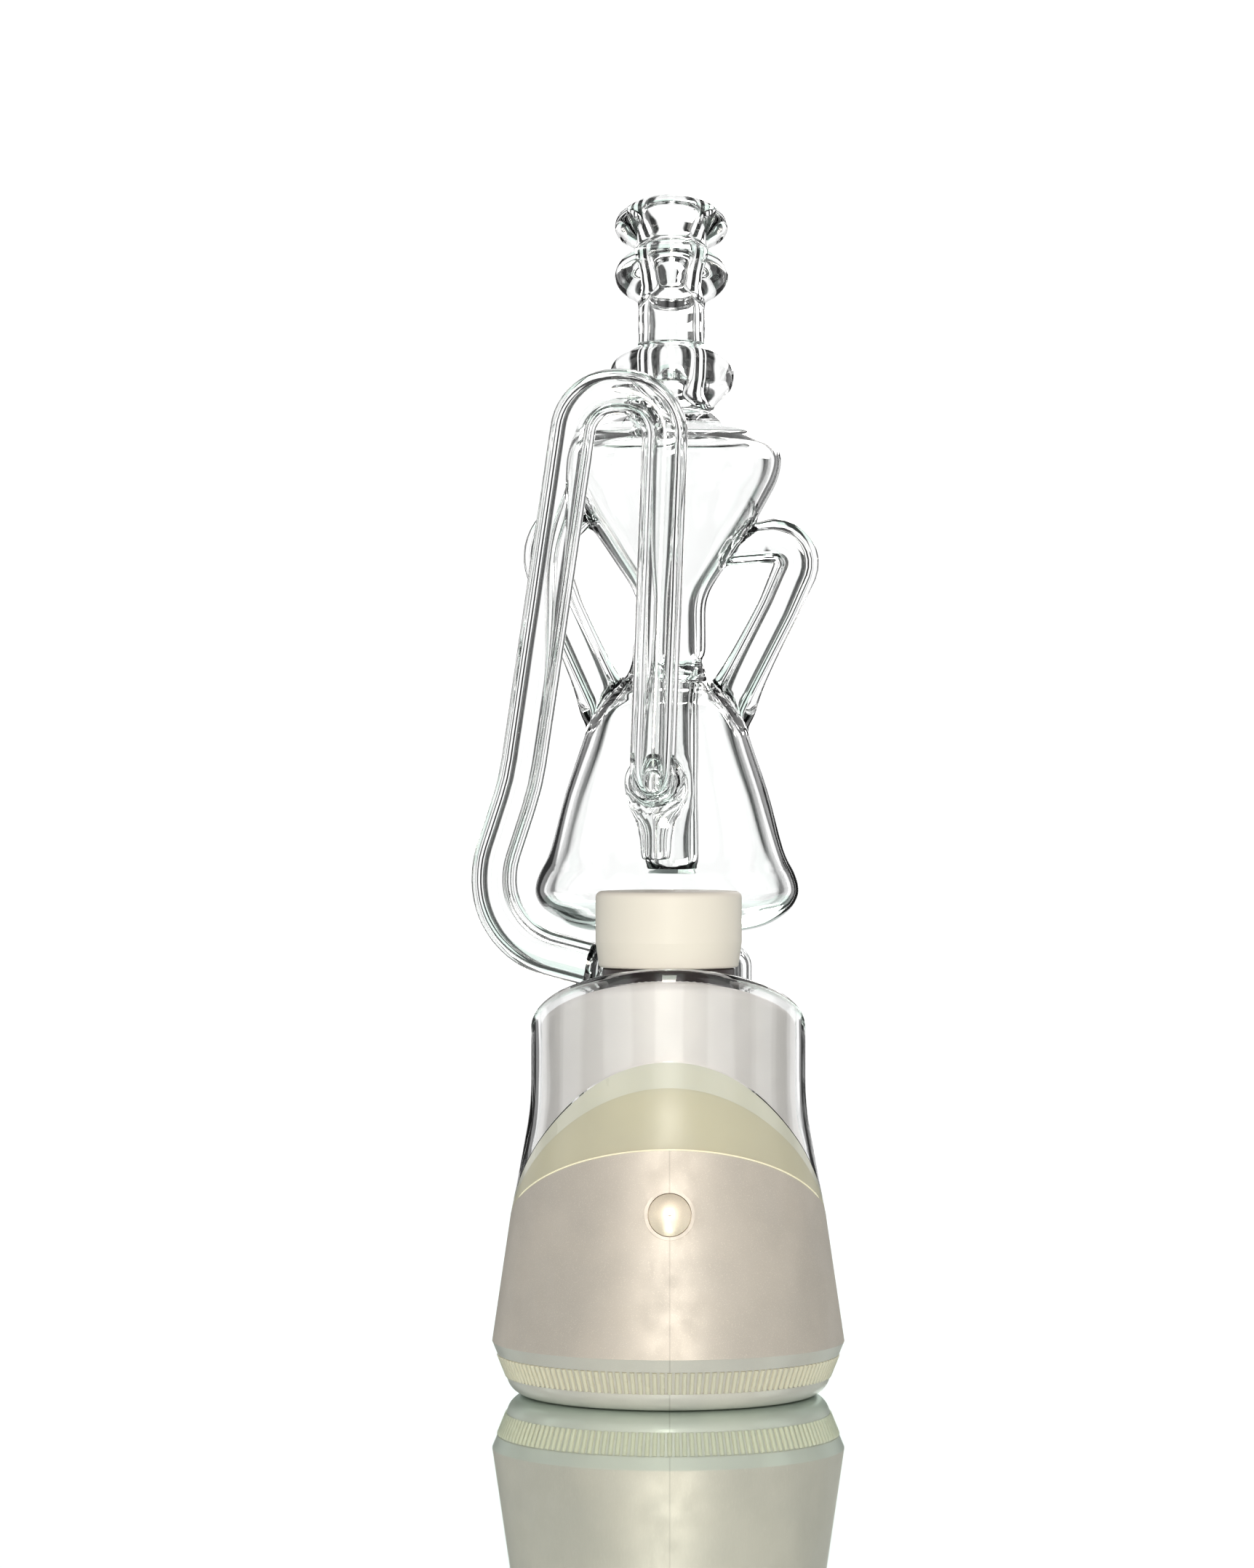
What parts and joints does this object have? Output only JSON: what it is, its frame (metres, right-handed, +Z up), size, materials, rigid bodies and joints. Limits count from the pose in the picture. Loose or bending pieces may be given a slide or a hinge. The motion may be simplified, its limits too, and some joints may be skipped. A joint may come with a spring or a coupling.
{
  "type": "electronic vaporiser with glass recycler top",
  "caption": "Battery vaporiser with a round translucent base, a heated bowl under a ceramic cap, and a lift-off clear glass recycler with a looping intake tube and a ringed mouthpiece.",
  "frame": {"origin": "centre of the foot's underside, on the surface it stands on", "axes": "+Z up along the base's axis, -Y towards the button, +X to the right seen from the button side"},
  "size_m": [0.0746, 0.0963, 0.2431],
  "materials": {
    "pearl_plastic": "translucent pearl, satin",
    "window_plastic": "frosted translucent",
    "inner_plastic": "moulded",
    "circuit_board": "solder mask",
    "cell_wrap": "shrink wrap",
    "silicone": "soft matte",
    "steel": "plain",
    "brass": "turned",
    "dark_metal": "dark glossy coating",
    "ceramic": "plain",
    "bone_ceramic": "bone white, satin",
    "clear_glass": "clear, flame polished"
  },
  "bodies": {
    "base": {"base_pad": "silicone", "base_plate": "inner_plastic", "base_screws": "steel", "foot_ring": "pearl_plastic", "lower_shell": "pearl_plastic", "light_window": "window_plastic", "window_arch": "window_plastic", "upper_shell": "pearl_plastic", "button_bezel": "window_plastic", "button_switch": "circuit_board", "chassis": "inner_plastic", "battery_left": "cell_wrap", "battery_right": "cell_wrap", "main_board": "circuit_board", "led_board": "circuit_board", "usb_port": "steel", "haptic_motor": "steel", "contact_block": "inner_plastic", "contact_pins": "brass"},
    "button": {"button": "pearl_plastic"},
    "chamber": {"chamber_base": "brass", "chamber_insulator": "ceramic", "heater_disc": "ceramic", "bowl": "ceramic"},
    "collar": {"chamber_collar": "dark_metal", "chamber_oring": "silicone"},
    "cap": {"carb_cap": "bone_ceramic", "cap_seal": "silicone"},
    "glass": {"glass_bell": "clear_glass", "bell_hump": "clear_glass", "can_post": "clear_glass", "can": "clear_glass", "intake_elbow": "clear_glass", "intake_riser": "clear_glass", "intake_arch": "clear_glass", "intake_drop": "clear_glass", "loop_brace": "clear_glass", "weld_collar": "clear_glass", "nozzle": "clear_glass", "drain_tube": "clear_glass", "drain_neck": "clear_glass", "arm_left": "clear_glass", "arm_right": "clear_glass", "funnel": "clear_glass", "neck_cone": "clear_glass", "ring_low": "clear_glass", "neck_stem": "clear_glass", "ring_mid": "clear_glass", "mouth_tube": "clear_glass", "mouth_lip": "clear_glass"}
  },
  "joints": [
    {"name": "glass_lift", "type": "slide", "parent": "base", "child": "glass", "axis": [0, 0, 1], "range_m": [0, 0.075]},
    {"name": "button_press", "type": "slide", "parent": "base", "child": "button", "axis": [0, 0.9894, -0.1454], "range_m": [0, 0.0006], "stiffness_N_per_m": 500},
    {"name": "chamber_draw", "type": "slide", "parent": "base", "child": "chamber", "axis": [0, 0, 1], "range_m": [0, 0.0036]},
    {"name": "collar_turn", "type": "hinge", "parent": "chamber", "child": "collar", "pos_m": [0, -0.0095, 0.0755], "axis": [0, 0, 1], "range_deg": [0, 1080]},
    {"name": "cap_lift", "type": "slide", "parent": "chamber", "child": "cap", "axis": [0, 0, 1], "range_m": [0, 0.01]}
  ],
  "couplings": [
    {"joint": "collar_turn", "follows": "chamber_draw", "rad_per_m": 5236}
  ]
}
